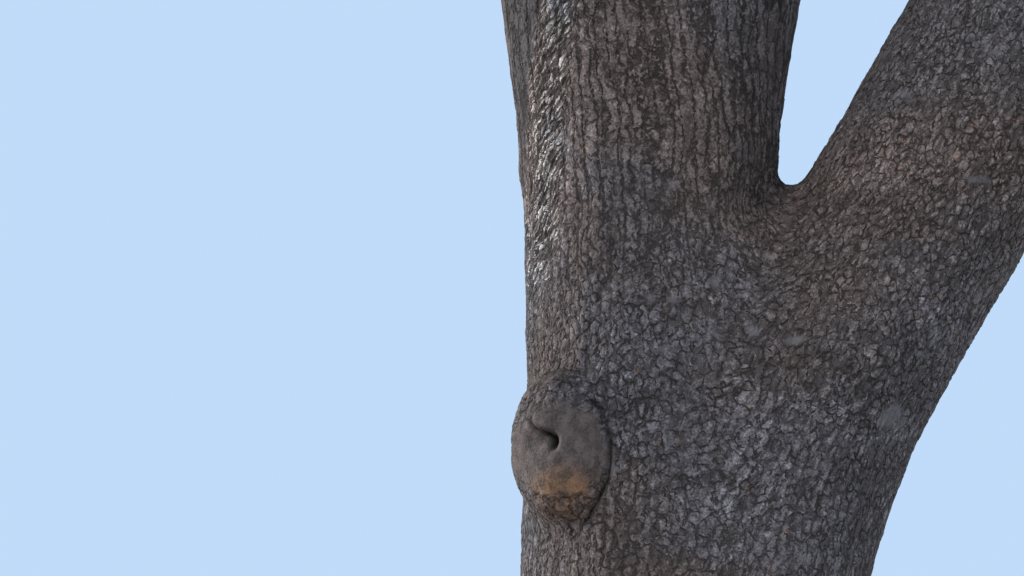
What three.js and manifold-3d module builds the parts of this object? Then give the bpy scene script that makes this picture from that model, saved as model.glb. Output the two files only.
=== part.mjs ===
// A big savanna tree with scaly bark: a thick trunk that forks above head height into a broad
// upright stem and a leaning one, then three leaders, boughs and a wide domed crown.
// Millimetres, +Z up. The origin is on the flat cut under the trunk at ground level.
// Seen from -Y, the upright stem is on the left and the leaning stem on the right.
import * as THREE from "three";
import { mergeVertices } from "three/addons/utils/BufferGeometryUtils.js";
import Module from "manifold-3d";

const wasm = await Module();
wasm.setup();

// The space between two pieces that meet
const GAP = 0.4;

// Trunk: a root flare on lobes, a waist, and two halves that part towards the fork
const FORK_Z = 3570;
const FLARE_WIDTH = 330;
const FLARE_FALL = 380;
const LOBE_DEPTH = 0.11;
const LOBE_FALL = 530;
const BLEND_FROM_Z = 2000;
const BLEND_TO_Z = 3200;
const BLEND_WIDTH = 160;
const FLARE_HEIGHTS = [0, 130, 300, 520, 800, 1200, 1700, 2100];
const UPPER_FROM_Z = 2400;
const UPPER_STEPS = 6;
const TRUNK_SIDES = 32;

// The trunk's halves. Each row: height, the half's outer edge, its half width and its half depth
const LEFT_HALF = [
  [0, -470, 470, 470],
  [1700, -475, 465, 455],
  [2100, -482, 468, 460],
  [2400, -492, 478, 470],
  [3000, -471, 430, 440],
  [3400, -480, 395, 400],
  [FORK_Z, -487, 384, 384],
];
const RIGHT_HALF = [
  [0, 470, 470, 470],
  [1700, 458, 462, 455],
  [2100, 488, 465, 460],
  [2400, 546, 470, 470],
  [2718, 645, 455, 460],
  [3000, 797, 430, 435],
  [3336, 996, 405, 385],
  [FORK_Z, 1139, 391, 345],
];

// Left stem: it widens upwards to its own fork
const LEFT_STEM = {
  topZ: 4650,
  x: -110,
  drift: 0.012,
  halfWidth: 362,
  widening: 0.155,
  depth: 384,
  topDepth: 330,
  crotchSpread: 22,
  crotchFall: 80,
  steps: 6,
};

// Right stem: it leans out evenly
const RIGHT_STEM = { topZ: 5000, x: 748, lean: 0.589, bend: 34, radius: 341, topRadius: 322, steps: 7 };
const STEM_SIDES = 24;

// Knot: the healed scar of a lost limb, on the left of the trunk's front
const KNOT = { centre: [-368, -282, 2778], half: [172, 138, 226], turn: -0.883, detail: 3 };

// Crown: three rings of leaf masses, each mass a lumpy ellipsoid with a flatter underside
const CROWN_X = 600;
const RINGS = [
  { name: "low", count: 7, reach: 5100, z: 7700, half: [2800, 2800, 2050], turn: 0.2 },
  { name: "mid", count: 5, reach: 3650, z: 10450, half: [2950, 2950, 2300], turn: 0.6 },
  { name: "top", count: 3, reach: 1900, z: 12850, half: [2600, 2600, 2100], turn: 1.571 },
];
const CROWN_SEED = 2107;
const TURN_JITTER = 0.08;
const REACH_JITTER = 0.07;
const HEIGHT_JITTER = 450;
const SIZE_JITTER = 0.09;
const MASS_DETAIL = 2;
const MASS_BASE = 0.9;
const LUMPS = 9;
const LUMP_LOWEST = -0.7;
const LUMP_RISE = 0.17;
const LUMP_SPREAD = 0.3;
const UNDERSIDE_FLAT = 0.78;
const MASS_PARTING = 1.008;
const LIMB_PARTING = 1.002;

// Leaders: each from inside a stem's top to the middle of a top mass, through points in the core
const LEADERS = [
  {
    name: "left_leader",
    radius: 272,
    via: [[-300, 0, 4480], [-620, -130, 6300], [-660, -420, 8900], [-560, -640, 11100]],
    topMass: 2,
  },
  {
    name: "centre_leader",
    radius: 285,
    via: [[110, 10, 4480], [330, 420, 6300], [520, 800, 8900], [590, 1050, 11100]],
    topMass: 1,
  },
  {
    name: "right_leader",
    radius: 318,
    via: [[1470, 0, 4900], [1990, -60, 6350], [1930, -330, 8900], [1760, -560, 11100]],
    topMass: 3,
  },
];
const LEADER_RULE = { tip: 0.3, sides: 12, steps: 10, collar: 0 };
const LEADER_FOOT_Z = 4570;
const LEADER_RISE = 9500;

// Boughs: from the nearest leader, leaving it at this height or a bit more, to each low and mid mass
const BOUGHS = {
  low: { from: 5650, spread: 650, radius: 168, tip: 0.42, sides: 8, steps: 7, collar: 0.4 },
  mid: { from: 7900, spread: 900, radius: 118, tip: 0.45, sides: 8, steps: 7, collar: 0.4 },
};
const COLLAR_LENGTH = 1.6;

const BARK = { color: 0x6b6162, roughness: 0.92, metalness: 0 };
const CALLUS = { color: 0x7b6c63, roughness: 0.85, metalness: 0 };
const LEAF = { color: 0x4f6b2c, roughness: 0.6, metalness: 0 };

// A repeatable stream of numbers from 0 to 1
function seeded(seed) {
  let state = seed;
  return () => {
    state = (state * 1664525 + 1013904223) % 4294967296;
    return state / 4294967296;
  };
}

function smooth(t) {
  const u = Math.min(1, Math.max(0, t));
  return u * u * (3 - 2 * u);
}

function evenly(low, high, steps) {
  return Array.from({ length: steps + 1 }, (_, i) => low + ((high - low) * i) / steps);
}

// The angles of a ring's corners
function around(sides) {
  return Array.from({ length: sides }, (_, i) => (i / sides) * 2 * Math.PI);
}

// The values of a table at height z, in even steps between its rows
function rowAt(table, z) {
  let i = 0;
  while (i < table.length - 2 && z > table[i + 1][0]) i += 1;
  const t = (z - table[i][0]) / (table[i + 1][0] - table[i][0]);
  return table[i].map((value, k) => value + (table[i + 1][k] - value) * t);
}

// Closed geometry through rings of points, with a flat cap on each end
function loft(rings) {
  const sides = rings[0].length;
  const points = rings.flat();
  const faces = [];
  for (let r = 0; r < rings.length - 1; r += 1) {
    for (let s = 0; s < sides; s += 1) {
      const a = r * sides + s;
      const b = r * sides + ((s + 1) % sides);
      faces.push(a, b, b + sides, a, b + sides, a + sides);
    }
  }
  [0, rings.length - 1].forEach((r) => {
    const middle = new THREE.Vector3();
    rings[r].forEach((p) => middle.addScaledVector(p, 1 / sides));
    const hub = points.push(middle) - 1;
    for (let s = 0; s < sides; s += 1) {
      const a = r * sides + s;
      const b = r * sides + ((s + 1) % sides);
      faces.push(...(r > 0 ? [hub, a, b] : [hub, b, a]));
    }
  });
  const geometry = new THREE.BufferGeometry().setFromPoints(points);
  geometry.setIndex(faces);
  return geometry;
}

function solidOf(geometry) {
  const bare = new THREE.BufferGeometry();
  bare.setAttribute("position", geometry.getAttribute("position"));
  bare.setIndex(geometry.index);
  const merged = mergeVertices(bare, 1e-3);
  return new wasm.Manifold(
    new wasm.Mesh({
      numProp: 3,
      vertProperties: merged.getAttribute("position").array,
      triVerts: new Uint32Array(merged.index.array),
    }),
  );
}

function geometryOf(solid) {
  const mesh = solid.getMesh();
  const places = new Float32Array(mesh.numVert * 3);
  for (let i = 0; i < mesh.numVert; i += 1) {
    places.set(mesh.vertProperties.subarray(i * mesh.numProp, i * mesh.numProp + 3), i * 3);
  }
  const geometry = new THREE.BufferGeometry();
  geometry.setAttribute("position", new THREE.BufferAttribute(places, 3));
  geometry.setIndex(new THREE.BufferAttribute(new Uint32Array(mesh.triVerts), 1));
  return geometry;
}

// The biggest of the pieces that a cut leaves
function mainBody(solid) {
  return solid.decompose().sort((a, b) => b.volume() - a.volume())[0];
}

// The piece without what the limbs made so far take up
function clearOf(solid, limbs) {
  return limbs.reduce((rest, limb) => rest.subtract(limb.cutter), solid);
}

function ellipseRing(x, z, halfWidth, halfDepth) {
  return around(STEM_SIDES).map(
    (angle) => new THREE.Vector3(x + halfWidth * Math.cos(angle), halfDepth * Math.sin(angle), z),
  );
}

// How far a point is outside an ellipse, roughly in millimetres
function outsideOf(x, y, centre, halfWidth, halfDepth) {
  const reach = Math.hypot((x - centre) / halfWidth, y / halfDepth);
  return (reach - 1) * Math.min(halfWidth, halfDepth);
}

// How far a point is outside the two halves together, with a soft valley between them
function outsideTrunk(x, y, z) {
  const [, leftEdge, leftHalf, leftDepth] = rowAt(LEFT_HALF, z);
  const [, rightEdge, rightHalf, rightDepth] = rowAt(RIGHT_HALF, z);
  const a = outsideOf(x, y, leftEdge + leftHalf, leftHalf, leftDepth);
  const b = outsideOf(x, y, rightEdge - rightHalf, rightHalf, rightDepth);
  const blend = 1 + BLEND_WIDTH * smooth((z - BLEND_FROM_Z) / (BLEND_TO_Z - BLEND_FROM_Z));
  const overlap = Math.max(blend - Math.abs(a - b), 0);
  return Math.min(a, b) - (overlap * overlap) / (4 * blend);
}

// The trunk's outline at a height: its halves, then the root flare and its uneven lobes
function trunkRing(z, extra) {
  const hub = (rowAt(LEFT_HALF, z)[1] + rowAt(RIGHT_HALF, z)[1]) / 2;
  const flare = FLARE_WIDTH * Math.exp(-z / FLARE_FALL);
  const lobeDepth = LOBE_DEPTH * Math.exp(-z / LOBE_FALL);
  return around(TRUNK_SIDES).map((angle) => {
    let [near, far] = [0, 2000];
    while (far - near > 0.01) {
      const middle = (near + far) / 2;
      const outside = outsideTrunk(hub + middle * Math.cos(angle), middle * Math.sin(angle), z);
      if (outside > 0) far = middle;
      else near = middle;
    }
    const lobes = Math.cos(5 * angle + 0.6) + 0.5 * Math.cos(3 * angle + 2.1);
    const r = near * (1 + lobes * lobeDepth) + flare + extra;
    return new THREE.Vector3(hub + r * Math.cos(angle), r * Math.sin(angle), z);
  });
}

function trunkGeometry(extra) {
  const heights = [...FLARE_HEIGHTS, ...evenly(UPPER_FROM_Z, FORK_Z, UPPER_STEPS)];
  const rings = heights.map((z) => trunkRing(z, extra));
  rings[rings.length - 1].forEach((p) => p.setZ(FORK_Z + extra));
  return loft(rings);
}

function leftStemGeometry(extra) {
  const { topZ, x, drift, halfWidth, widening, depth, topDepth, crotchSpread, crotchFall } = LEFT_STEM;
  const rings = evenly(FORK_Z + GAP - extra, topZ + extra, LEFT_STEM.steps).map((z) => {
    const up = z - FORK_Z;
    const width = halfWidth + widening * up + crotchSpread * Math.exp(-up / crotchFall);
    const deep = depth + ((topDepth - depth) * up) / (topZ - FORK_Z);
    return ellipseRing(x + drift * up, z, width + extra, deep + extra);
  });
  return loft(rings);
}

function rightStemGeometry(extra) {
  const { topZ, x, lean, bend, radius, topRadius } = RIGHT_STEM;
  const slant = Math.hypot(1, lean);
  const rings = evenly(FORK_Z + GAP - extra, topZ + extra, RIGHT_STEM.steps).map((z) => {
    const up = (z - FORK_Z) / (topZ - FORK_Z);
    const r = radius + (topRadius - radius) * up;
    return ellipseRing(x + lean * (z - FORK_Z) - bend * smooth(up), z, r * slant + extra, r + extra);
  });
  return loft(rings);
}

// The knot's ball, turned to the trunk's surface
function knotGeometry() {
  const ball = new THREE.IcosahedronGeometry(1, KNOT.detail);
  ball.scale(...KNOT.half).rotateZ(KNOT.turn).translate(...KNOT.centre);
  return ball;
}

// One tapering limb along a curve, with a collar at its base where it joins its parent
function limbGeometry(curve, radius, rule, extra) {
  const frames = curve.computeFrenetFrames(rule.steps, false);
  const length = curve.getLength();
  const rings = evenly(0, 1, rule.steps).map((t, i) => {
    const centre = curve.getPointAt(t);
    const swell = 1 + rule.collar * Math.exp((-t * length) / (COLLAR_LENGTH * radius));
    const r = radius * (1 + (rule.tip - 1) * t) * swell + extra;
    return around(rule.sides).map((angle) =>
      centre
        .clone()
        .addScaledVector(frames.normals[i], Math.cos(angle) * r)
        .addScaledVector(frames.binormals[i], Math.sin(angle) * r),
    );
  });
  return loft(rings);
}

// A bough's curve: out of its leader, up and over into its mass
function boughCurve(start, leaderWay, target) {
  const span = target.clone().sub(start);
  const length = span.length();
  const out = new THREE.Vector3(span.x, span.y, 0).normalize();
  const rising = leaderWay.clone().multiplyScalar(0.5).addScaledVector(out, 0.75).normalize();
  const beforeTarget = target.clone().addScaledVector(out, -0.3 * length);
  beforeTarget.z -= 0.1 * length;
  return new THREE.CubicBezierCurve3(
    start,
    start.clone().addScaledVector(rising, 0.34 * length),
    beforeTarget,
    target,
  );
}

// Where the masses stand, their sizes, and a seed for each one's lumps
function massPlaces() {
  const random = seeded(CROWN_SEED);
  const jitter = (size) => (random() * 2 - 1) * size;
  return RINGS.flatMap((ring) =>
    around(ring.count).map((step, i) => {
      const angle = ring.turn + step + jitter(TURN_JITTER);
      const reach = ring.reach * (1 + jitter(REACH_JITTER));
      const size = 1 + jitter(SIZE_JITTER);
      const z = ring.z + jitter(HEIGHT_JITTER);
      return {
        ring: ring.name,
        number: i + 1,
        centre: new THREE.Vector3(CROWN_X + reach * Math.cos(angle), reach * Math.sin(angle), z),
        half: new THREE.Vector3(...ring.half).multiplyScalar(size),
        seed: Math.floor(random() * 1e6),
      };
    }),
  );
}

// A ball pushed out in round lumps, then scaled to the mass
function massGeometry(place) {
  const random = seeded(place.seed);
  const lumps = around(LUMPS).map(() => {
    const up = LUMP_LOWEST + random() * (1 - LUMP_LOWEST);
    const angle = random() * 2 * Math.PI;
    const level = Math.sqrt(1 - up * up);
    const way = new THREE.Vector3(level * Math.cos(angle), level * Math.sin(angle), up);
    return { way, rise: LUMP_RISE * (0.5 + random()) };
  });
  const ball = new THREE.IcosahedronGeometry(1, MASS_DETAIL);
  const points = ball.getAttribute("position");
  const way = new THREE.Vector3();
  for (let i = 0; i < points.count; i += 1) {
    way.fromBufferAttribute(points, i).normalize();
    const reach = lumps.reduce(
      (sum, lump) => sum + lump.rise * Math.exp(-way.distanceToSquared(lump.way) / LUMP_SPREAD),
      MASS_BASE,
    );
    if (way.z < 0) way.z *= UNDERSIDE_FLAT;
    way.multiply(place.half).multiplyScalar(reach).add(place.centre);
    points.setXYZ(i, way.x, way.y, way.z);
  }
  return ball;
}

// The mass a little larger, for cutting what meets it
function enlarged(solid, place, share) {
  const { x, y, z } = place.centre;
  return solid.translate([-x, -y, -z]).scale(share).translate([x, y, z]);
}

// Each mass whole, but for the bites of the masses after it, which stand beside or above it
function cutMasses(places) {
  const whole = places.map((place) => solidOf(massGeometry(place)));
  return places.map((place, i) => {
    const later = places.slice(i + 1);
    const bites = later.map((other, k) => enlarged(whole[i + 1 + k], other, MASS_PARTING));
    return mainBody(bites.reduce((rest, bite) => rest.subtract(bite), whole[i]));
  });
}

// Trunk, stems and knot
function makeStems() {
  const trunkCutter = solidOf(trunkGeometry(GAP));
  const leftCutter = solidOf(leftStemGeometry(GAP));
  const right = solidOf(rightStemGeometry(0)).subtract(leftCutter);
  const knot = mainBody(solidOf(knotGeometry()).subtract(trunkCutter));
  return [
    { name: "trunk", solid: solidOf(trunkGeometry(0)), cutter: trunkCutter, looks: BARK },
    { name: "left_stem", solid: solidOf(leftStemGeometry(0)), cutter: leftCutter, looks: BARK },
    { name: "right_stem", solid: mainBody(right), cutter: solidOf(rightStemGeometry(GAP)), looks: BARK },
    { name: "knot", solid: knot, cutter: knot, looks: CALLUS },
  ];
}

// A limb as far as the mass that it grows into, cut clear of the limbs before it
function makeLimb(name, curve, radius, rule, limbs, mass) {
  const bare = clearOf(solidOf(limbGeometry(curve, radius, rule, 0)), limbs);
  const end = enlarged(mass.solid, mass, LIMB_PARTING);
  return {
    name,
    solid: mainBody(bare.subtract(end)),
    cutter: solidOf(limbGeometry(curve, radius, rule, GAP)),
    looks: BARK,
    mass,
  };
}

function buildTree() {
  const places = massPlaces();
  const solids = cutMasses(places);
  const masses = places.map((place, i) => ({ ...place, solid: solids[i] }));
  const limbs = makeStems();

  const curves = LEADERS.map((leader) => {
    const mass = masses.find((m) => m.ring === "top" && m.number === leader.topMass);
    const points = [...leader.via.map((p) => new THREE.Vector3(...p)), mass.centre];
    const curve = new THREE.CatmullRomCurve3(points, false, "centripetal");
    limbs.push(makeLimb(leader.name, curve, leader.radius, LEADER_RULE, limbs, mass));
    return curve;
  });

  masses
    .filter((mass) => mass.ring in BOUGHS)
    .forEach((mass) => {
      const rule = BOUGHS[mass.ring];
      const startZ = rule.from + rule.spread * Math.abs(Math.sin(2.3 * mass.number));
      const starts = curves.map((curve) => {
        const t = (startZ - LEADER_FOOT_Z) / LEADER_RISE;
        return { point: curve.getPointAt(t), way: curve.getTangentAt(t) };
      });
      const away = (start) => start.point.distanceTo(mass.centre);
      const { point, way } = starts.sort((a, b) => away(a) - away(b))[0];
      const curve = boughCurve(point, way, mass.centre);
      limbs.push(makeLimb(`${mass.ring}_bough_${mass.number}`, curve, rule.radius, rule, limbs, mass));
    });

  const leafMasses = masses.map((mass) => {
    const passing = limbs.filter((limb) => limb.mass !== mass);
    const solid = mainBody(clearOf(mass.solid, passing));
    return { name: `${mass.ring}_foliage_${mass.number}`, solid, looks: LEAF };
  });

  const tree = new THREE.Group();
  [...limbs, ...leafMasses].forEach(({ name, solid, looks }) => {
    const mesh = new THREE.Mesh(geometryOf(solid), new THREE.MeshStandardMaterial(looks));
    mesh.name = name;
    tree.add(mesh);
  });
  return tree;
}

export default buildTree();
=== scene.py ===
"""The looks of a big savanna tree, built around its fixed frame of solids.

Metres, +Z up, the origin on the flat cut under the trunk. Seen from -Y the upright stem is on the
left and the leaning stem on the right. The wood is one skin over the solids with the bark's relief
in it, the crown is branches, twigs and leaves that grow on from the limbs.
"""

import functools
import math
import random

import bmesh
import bpy
import numpy as np
from bpy.props import FloatProperty, FloatVectorProperty, IntProperty, PointerProperty
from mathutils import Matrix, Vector
from mathutils.bvhtree import BVHTree


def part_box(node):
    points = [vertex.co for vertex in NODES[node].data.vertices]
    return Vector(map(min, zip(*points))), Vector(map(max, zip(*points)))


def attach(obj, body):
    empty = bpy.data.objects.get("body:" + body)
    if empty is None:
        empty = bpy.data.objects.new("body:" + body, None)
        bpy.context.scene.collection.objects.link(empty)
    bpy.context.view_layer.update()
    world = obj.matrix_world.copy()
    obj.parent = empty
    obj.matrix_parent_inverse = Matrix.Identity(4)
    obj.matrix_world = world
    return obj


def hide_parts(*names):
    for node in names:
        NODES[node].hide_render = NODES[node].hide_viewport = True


bl_info = {
    "name": "Savanna tree",
    "version": (1, 0, 0),
    "blender": (4, 5, 0),
    "location": "View3D > Sidebar > Tree",
    "description": "Bark, branches and leaves around the solids of a big forked tree",
    "category": "Add Mesh",
}

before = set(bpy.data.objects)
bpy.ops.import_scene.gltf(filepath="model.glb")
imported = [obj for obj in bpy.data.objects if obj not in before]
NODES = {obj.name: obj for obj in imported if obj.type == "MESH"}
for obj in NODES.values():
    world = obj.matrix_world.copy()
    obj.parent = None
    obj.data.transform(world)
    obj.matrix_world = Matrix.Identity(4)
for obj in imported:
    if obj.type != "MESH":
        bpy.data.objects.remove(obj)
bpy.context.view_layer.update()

STEM_NAMES = ("trunk", "knot", "left_stem", "right_stem")
LEADER_NAMES = tuple(sorted(n for n in NODES if n.endswith("_leader")))
BOUGH_NAMES = tuple(sorted(n for n in NODES if "_bough_" in n))
LIMB_NAMES = LEADER_NAMES + BOUGH_NAMES
MASS_NAMES = tuple(sorted(n for n in NODES if "_foliage_" in n))
FORK_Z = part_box("trunk")[1].z
LEFT_TOP_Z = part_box("left_stem")[1].z
RIGHT_TOP_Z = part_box("right_stem")[1].z

# The photograph's view takes in the tree from here up to here, on the side towards -Y
VIEW_LOW_Z = 2.28
VIEW_HIGH_Z = 4.3
VIEW_BACK_Y = 0.12

# A point low in the middle of the crown, which limbs lead away from
CROWN_FOOT = np.array([0.6, 0.0, 4.6])

# The seam between the two stems' bark: the point below which it runs straight down, as X and Z, and
# how far it wanders to each side
SEAM_FOOT = (-0.05, 2.4)
SEAM_WANDER = 0.1

# Heights where the wood is divided into pieces, clear of the knot and of the crotch
WAIST_Z = 1.95
CHEST_Z = 2.95
STEM_FOOT_Z = FORK_Z + 0.04

# The knot, seen from the front as X and Z: its healed rim, its hole and the cracks round it
KNOT_MIDDLE = (-0.375, 2.755)
KNOT_REACH = (0.150, 0.138)
KNOT_FRONT_Y = -0.12
KNOT_TAN_MIDDLE = (-0.368, 2.622)
KNOT_TAN_REACH = (0.100, 0.085)
KNOT_HOLE = [(-0.422, 2.807), (-0.406, 2.801), (-0.394, 2.791), (-0.391, 2.776), (-0.400, 2.761)]
KNOT_LIP = [(-0.461, 2.850), (-0.458, 2.834), (-0.446, 2.819), (-0.424, 2.808)]
KNOT_RIDGE = [(-0.414, 2.822), (-0.386, 2.811), (-0.373, 2.785), (-0.376, 2.750), (-0.390, 2.727)]
KNOT_RIM = [(-0.278, 2.892), (-0.261, 2.876), (-0.246, 2.844), (-0.237, 2.815), (-0.230, 2.775),
            (-0.230, 2.719), (-0.238, 2.675), (-0.250, 2.643), (-0.266, 2.607), (-0.302, 2.552)]
KNOT_FISSURES = [
    [(-0.440, 2.632), (-0.405, 2.610), (-0.392, 2.570)],
    [(-0.382, 2.634), (-0.352, 2.618), (-0.318, 2.632)],
    [(-0.352, 2.618), (-0.341, 2.576)],
]

# How far ovals on the knot stand out, as depth, middle and reach, and how far lines do
KNOT_SWELLINGS = [
    (0.018, (-0.4386, 2.842), (0.032, 0.028)),
    (0.012, (-0.395, 2.675), (0.095, 0.050)),
    (0.022, (-0.350, 2.598), (0.100, 0.045)),
    (0.010, (-0.310, 2.770), (0.055, 0.085)),
    (-0.022, (-0.447, 2.770), (0.046, 0.034)),
    (-0.030, (-0.400, 2.783), (0.018, 0.024)),
]
KNOT_LINES = [
    (0.012, 0.013, KNOT_RIDGE),
    (-0.014, 0.007, KNOT_LIP),
    (-0.030, 0.011, KNOT_HOLE),
    (-0.017, 0.008, KNOT_RIM),
    *((-0.007, 0.0055, line) for line in KNOT_FISSURES),
]

# How far round the knot its relief is pressed in, as a multiple of its reach
KNOT_SURROUND = 2.2

# The painted shade on the knot, in its hole, along its lip and in its rim and cracks, as line, reach
# and share
KNOT_SHADES = [
    (KNOT_HOLE, 0.0115, 1.0),
    (KNOT_LIP, 0.005, 0.75),
    (KNOT_RIM, 0.0055, 0.85),
    *((line, 0.0032, 0.75) for line in KNOT_FISSURES),
]

# The heights between which the plates of the upright stem grow broad, and those of the low trunk
BROAD_STARTS = (3.0, 3.75)
BROAD_LOW_ENDS = (2.3, 2.75)
BROAD_LOW_SHARE = 0.55
BROAD_LIMB_SHARE = 0.2

# How far left of the seam the broad plates begin, in metres, below 0 on its right
BROAD_FROM_SEAM = (-0.1, 0.25)

# The strip of raised flakes on the upright stem, its palest flakes painted sunlight: its middle as X
# and
# Z, the heights where it begins and where it ends, its reach, and how far to its left the dark bark of
# painted shade begins
SUNLIT_RUGGED_STRIP = np.array(
    [(-0.50, 3.0), (-0.435, 3.35), (-0.414, 3.65), (-0.402, 3.89), (-0.369, 4.13), (-0.33, 4.6)]
)
STRIP_STARTS = (3.05, 3.4)
STRIP_ENDS = (4.5, 5.0)
STRIP_REACH = 0.055
STRIP_TO_EDGE = (0.045, 0.075)

# How far forwards of the trunk's middle the strip and the knot's marks begin, and how far out, for
# its reach, the knot's tan patch fades
STRIP_FRONT = (0.0, 0.08)
KNOT_FRONT = (0.08, 0.16)
KNOT_TAN_FADE = (0.35, 1.35)

# How far the border between the stems' bark and the limbs' wanders, and its waves in X and Y
BORDER_WANDER = 0.035
BORDER_WAVES = (19, 27)

# A way that no limb follows, for turning the bark's pattern along a limb
LIMB_SIDE = (0.31, 0.95, 0.05)

# How close points are when they count as the same
MERGE = 1e-4
GOLDEN_TURN = math.pi * (3 - math.sqrt(5))


def length_setting(name, description, default):
    return FloatProperty(
        name=name, description=description, default=default, unit="LENGTH", subtype="DISTANCE"
    )


def colour_setting(name, description, default):
    return FloatVectorProperty(
        name=name, description=description, default=default, subtype="COLOR", min=0, max=1
    )


def count_setting(name, description, default, least=1):
    return IntProperty(name=name, description=description, default=default, min=least)


def power_setting(name, description, default):
    return FloatProperty(name=name, description=description, default=default, min=0)


class WoodSettings(bpy.types.PropertyGroup):
    """Sizes and colours of the trunk, the stems and the limbs."""

    skin_step: length_setting(
        "Skin step", "Edge length of the first coarse skin over the solids", 0.0232
    )
    plate_depth: length_setting(
        "Plate depth", "How deep the cracks between the bark's plates are", 0.0055
    )
    swell_depth: length_setting("Swell depth", "How far the wood swells and dips under the bark", 0.016)
    plate_pale: colour_setting(
        "Pale plates", "Colour of the palest plates of bark", (0.340, 0.298, 0.298)
    )
    plate_grey: colour_setting("Grey plates", "Colour of most of the bark", (0.162, 0.138, 0.137))
    plate_dark: colour_setting(
        "Dark plates", "Colour of the darkest plates of bark", (0.070, 0.058, 0.056)
    )
    # Painted shade in the cracks: this colour darkens them over their real sunken relief
    crack_shade_colour: colour_setting("Cracks", "Colour between the plates", (0.018, 0.014, 0.013))
    # Painted shade: the dark bluish bark along the upright stem's outer edge, left of the strip
    shaded_edge_colour: colour_setting(
        "Shaded edge",
        "Colour of the smooth dark bark along the upright stem's outer edge",
        (0.052, 0.050, 0.056),
    )
    flake_colour: colour_setting(
        "Flakes", "Colour of the few spots where bark has flaked off", (0.26, 0.145, 0.085)
    )
    # Painted sunlight: the palest flakes on the upright stem's strip, where a low sun would graze them
    sunlit_flake_colour: colour_setting(
        "Sunlit flakes", "Colour of the palest raised flakes on the upright stem", (0.66, 0.63, 0.60)
    )
    rubbed_colour: colour_setting(
        "Rubbed spots", "Colour of the few spots where bark is worn smooth", (0.155, 0.150, 0.162)
    )
    callus_colour: colour_setting(
        "Callus", "Colour of the healed wood on the knot", (0.100, 0.080, 0.076)
    )
    callus_tan: colour_setting(
        "Callus, tan", "Colour of the younger wood under the knot", (0.225, 0.128, 0.076)
    )


class CrownSettings(bpy.types.PropertyGroup):
    """Sizes and colours of the branches, twigs and leaves."""

    seed: count_setting("Seed", "Chooses the branching", 31, 0)
    tips: count_setting("Branch tips", "How many branches end in sprays of leaves in a mass", 106)
    tip_radius: length_setting("Tip radius", "Radius of a branch at its tip", 0.007)
    sprays: count_setting("Sprays", "How many sprays of leaves the crown has", 12000, 5)
    spray_length: length_setting("Spray length", "Length of a leafy twig", 0.42)
    spray_leaves: count_setting("Leaves on a spray", "How many leaves each twig carries", 20)
    leaf_length: length_setting("Leaf length", "Length of a full-grown leaf", 0.145)
    leaf_width: length_setting("Leaf width", "Width of a full-grown leaf", 0.056)
    twig_colour: colour_setting("Twigs", "Colour of the young twigs", (0.115, 0.092, 0.072))


class StageSettings(bpy.types.PropertyGroup):
    """The floor, the light and the camera."""

    floor_radius: length_setting("Floor radius", "Radius of the plain floor", 1500.0)
    floor_colour: colour_setting("Floor", "Colour of the plain floor", (0.46, 0.44, 0.41))
    sky_colour: colour_setting(
        "Surround", "Colour of the plain surround that lights the tree softly", (0.53, 0.71, 0.95)
    )
    key_power: power_setting("High light", "Strength of the high soft light on the crown", 2.9)
    fill_power: power_setting("Fill light", "Strength of the very soft light from the right", 1.0)
    side_power: power_setting(
        "Low side light", "Strength of the low light that grazes the trunk's left side", 4.2
    )


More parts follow.
